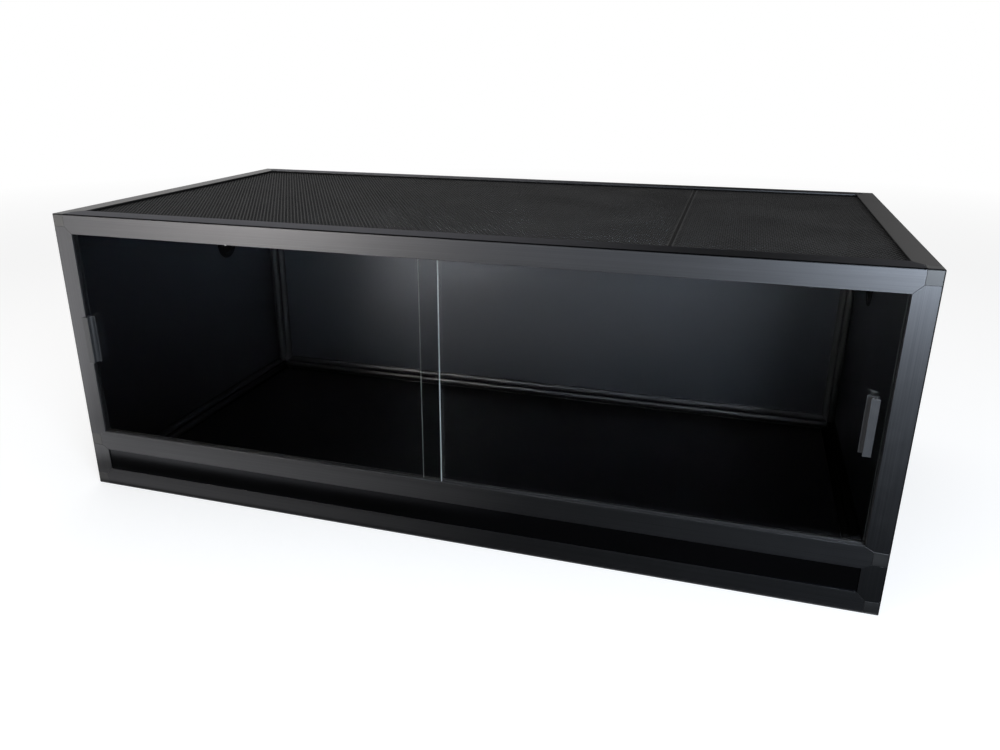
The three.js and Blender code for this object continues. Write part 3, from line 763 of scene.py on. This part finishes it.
def pale_floor():
    surface = Surface("pale_floor")
    seen = seen_share(surface)
    far = surface.node("ShaderNodeVectorMath", {"operation": "LENGTH"}, {0: surface.place}, output="Value")
    paper = surface.node("ShaderNodeBsdfDiffuse", {}, {"Color": (paper_grey, paper_grey, paper_grey, 1)})
    near = surface.node("ShaderNodeAddShader", {}, {0: paper, 1: surface.glow(floor_lift * seen)})
    room_white = surface.glow(room_strength(seen))
    fade = surface.ramp(far, fade_start, fade_end)
    return surface.end(surface.node("ShaderNodeMixShader", {}, {0: fade, 1: near, 2: room_white}))


bm = bmesh.new()
bmesh.ops.create_circle(bm, cap_ends=True, segments=96, radius=floor_radius)
floor = meshed("pale_floor", bm, [pale_floor()])

# %% [markdown]
# ## Lights and black cards
#
# A glossy black thing is mostly what it reflects. Four softboxes light the cabinet: a warm one low on the left, a
# small cool one in the middle for the glow on the back, a stronger one on the right, and a wide weak one overhead
# that lights the perforated top and isn't mirrored. To keep a white room out of the glass, a photographer lays black
# cloth before it and stands black cards where a reflection would fall. The cards here are seen by reflections and
# through the glass only, and they stand where the photograph's view needs them. The room behind the photographer is
# dim, and the ceiling is black. Some cards are lit ones: a patch of bright floor on the left, which the left door
# mirrors into its edge, two strips of floor that shine in the low rails and fade to the right, and a graded card
# behind, which is the light that runs along the top faces.

# %% Softboxes
def softbox(name, position, target, width, height, brightness, colour):
    """A rectangular lamp. Its brightness is what a mirror would show of it, where 1 is white."""
    lamp = bpy.data.lights.new(name, "AREA")
    lamp.shape = "RECTANGLE"
    lamp.size, lamp.size_y = width, height
    lamp.energy = brightness * math.pi * width * height
    lamp.color = colour
    made = aimed(name, lamp, position, target)
    made.visible_camera = False
    return made


overhead = softbox("overhead_softbox", (-0.5, 0.9, 2.4), (0.0, 0.0, 0.2), 1.8, 1.4, 1.0, (1.0, 0.99, 0.97))
overhead.visible_glossy = False
softbox("left_softbox", (-1.33, -2.10, 0.47), (-0.1, -0.1, 0.25), 0.58, 0.74, 13.2, (1.0, 0.955, 0.91))
softbox("middle_softbox", (-0.26, -2.30, 0.62), (0.1, -0.1, 0.25), 0.50, 0.50, 4.2, (0.78, 0.87, 1.0))
softbox("right_softbox", (1.10, -1.62, 0.58), (0.1, -0.1, 0.25), 0.70, 0.66, 21.5, (0.78, 0.88, 1.0))

# %% Black cloth and cards
rise_start, rise_end = 0.5, 1.6  # along X


def even_paint(name, strength):
    """A glow of one strength. With 0 it is black that reflects nothing, and with a little more a dim room."""
    surface = Surface(name)
    return surface.end(surface.glow(strength))


def fading_paint(name, start, end, first, last, rise=0.0):
    """A glow that goes from first to last between two places along X, and rises again by rise farther right."""
    surface = Surface(name)
    fade = surface.ramp(surface.across(), start, end, first, last)
    return surface.end(surface.glow(fade + surface.ramp(surface.across(), rise_start, rise_end, 0.0, rise)))


def card(name, corner, side_a, side_b, paint):
    """A flat card from a corner along two sides, which only reflections and what is seen through glass show."""
    bm = bmesh.new()
    bmesh.ops.create_grid(bm, x_segments=1, y_segments=1, size=0.5)
    a, b = Vector(side_a), Vector(side_b)
    place = Matrix((a, b, a.cross(b).normalized())).transposed().to_4x4()
    place.translation = Vector(corner) + (a + b) / 2
    bmesh.ops.transform(bm, verts=bm.verts[:], matrix=place)
    made = meshed(name, bm, [paint])
    made.visible_camera = made.visible_diffuse = made.visible_shadow = False


black_cloth = even_paint("black_cloth", 0.0)
card("cloth_before_the_left_door", (-0.62, -0.3055, 0.002), (-2.13, -2.2, 0), (2.6, 0, 0), black_cloth)
card("cloth_before_the_right_door", (-0.2, -2.5055, 0.003), (2.1, 0, 0), (0, 2.2, 0), black_cloth)
dim_room = even_paint("dim_room", 0.10)
card("dark_side_of_the_room", (-4.5, -4.4, 0.0), (8.0, 0, 0), (0, 0, 3.2), dim_room)
card("dark_ceiling", (-2.6, -4.4, 3.2), (6.1, 0, 0), (0, 6.3, 0), black_cloth)
lit_floor = even_paint("lit_floor", 3.0)
card("lit_floor_on_the_left", (-0.80, -0.48, 0.003), (-1.2, -1.24, 0), (-0.55, 0, 0), lit_floor)
fading_strip = fading_paint("fading_strip", -0.55, 0.1, 1.5, 0.0)
card("lit_floor_for_the_middle_rail", (-1.1, -0.455, 0.004), (1.2, 0, 0), (0, 0.065, 0), fading_strip)
weak_strip = fading_paint("weak_fading_strip", -0.55, 0.1, 0.38, 0.0)
card("lit_floor_for_the_bottom_rail", (-1.1, -0.343, 0.004), (1.2, 0, 0), (0, 0.035, 0), weak_strip)
graded_card = fading_paint("graded_card", -1.2, 0.25, 0.9, 0.08, rise=0.6)
card("graded_card_behind", (-3.8, 1.9, 0.1), (7.4, 0, 0), (0, 0, 3.1), graded_card)

# %% [markdown]
# ## The end
#
# The last cell sets the Standard view transform, so colours are shown without a film look.

# %% Finish
bpy.context.scene.view_settings.view_transform = "Standard"
